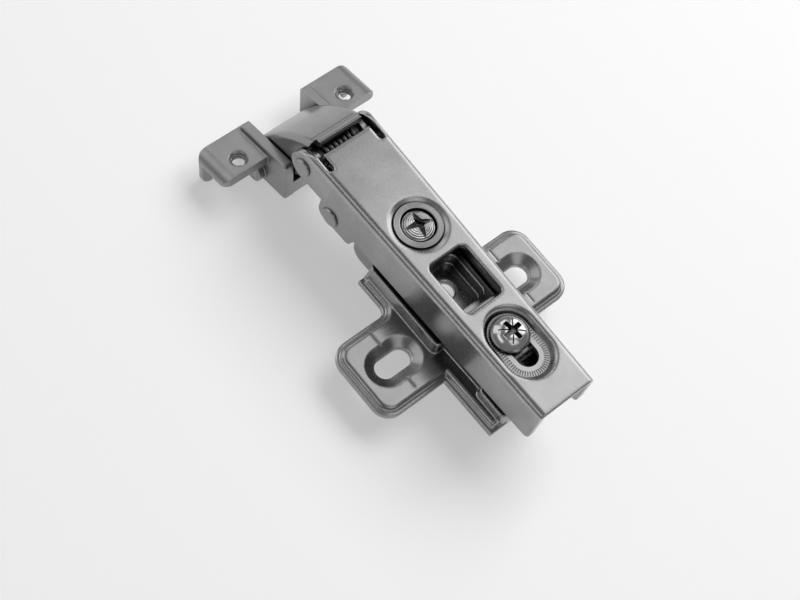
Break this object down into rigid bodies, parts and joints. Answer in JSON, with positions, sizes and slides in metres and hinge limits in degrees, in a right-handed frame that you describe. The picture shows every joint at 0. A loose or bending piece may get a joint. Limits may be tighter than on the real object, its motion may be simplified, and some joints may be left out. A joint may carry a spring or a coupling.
{
  "type": "concealed hinge for aluminium-frame doors, with mounting plate",
  "caption": "Concealed cabinet hinge for narrow aluminium-frame doors: channel arm on a cruciform mounting plate, linked to a two-eared screw-on door bracket, shown open.",
  "frame": {"origin": "midway between the two plate screws, on the plate's mounting face", "axes": "+X along the arm towards the door, +Y across the cabinet side, +Z out of the cabinet side"},
  "size_m": [0.0871, 0.0506, 0.0251],
  "materials": {
    "plated_steel": "nickel-plated, satin",
    "plate_steel": "nickel-plated, dull",
    "lever_steel": "nickel-plated, smooth",
    "bright_steel": "bright zinc-plated",
    "pin_steel": "plain",
    "spring_steel": "oiled spring steel",
    "sleeve_plastic": "matte",
    "bracket_zinc": "nickel-plated zinc casting, satin"
  },
  "bodies": {
    "plate": {"mounting_plate": "plate_steel"},
    "arm": {"arm": "plated_steel", "adjuster_bush": "bright_steel", "front_pin": "pin_steel", "rear_pin": "pin_steel", "spring_sleeve": "sleeve_plastic", "torsion_spring": "spring_steel"},
    "clamp_screw": {"clamp_screw": "bright_steel"},
    "adjusting_screw": {"adjusting_screw": "bright_steel"},
    "outer_lever": {"outer_lever": "lever_steel"},
    "inner_lever": {"inner_lever": "lever_steel"},
    "door_bracket": {"door_bracket": "bracket_zinc", "lever_pin": "pin_steel", "link_pin": "pin_steel"}
  },
  "joints": [
    {"name": "arm_depth", "type": "slide", "parent": "plate", "child": "arm", "axis": [1, 0, 0], "range_m": [0, 0.005]},
    {"name": "clamp_screw_turn", "type": "hinge", "parent": "plate", "child": "clamp_screw", "pos_m": [-0.0118, 0, 0.016], "axis": [0, 0, 1], "range_deg": [-360, 360]},
    {"name": "adjusting_screw_turn", "type": "hinge", "parent": "arm", "child": "adjusting_screw", "pos_m": [0.016, 0, 0.016], "axis": [0, 0, 1], "range_deg": [-540, 540]},
    {"name": "outer_lever_swing", "type": "hinge", "parent": "arm", "child": "outer_lever", "pos_m": [0.0403, 0, 0.0123], "axis": [0, -1, 0], "range_deg": [0, 13.25]},
    {"name": "bracket_swing", "type": "hinge", "parent": "outer_lever", "child": "door_bracket", "pos_m": [0.05085, 0, -0.00305], "axis": [0, -1, 0], "range_deg": [0, 89.29]},
    {"name": "inner_lever_swing", "type": "hinge", "parent": "arm", "child": "inner_lever", "pos_m": [0.0305, 0, 0.0064], "axis": [0, -1, 0], "range_deg": [-8.6, 0]}
  ],
  "couplings": [
    {"joint": "outer_lever_swing", "follows": "bracket_swing", "ratio": 0.14792},
    {"joint": "inner_lever_swing", "follows": "bracket_swing", "ratio": -0.095742}
  ]
}
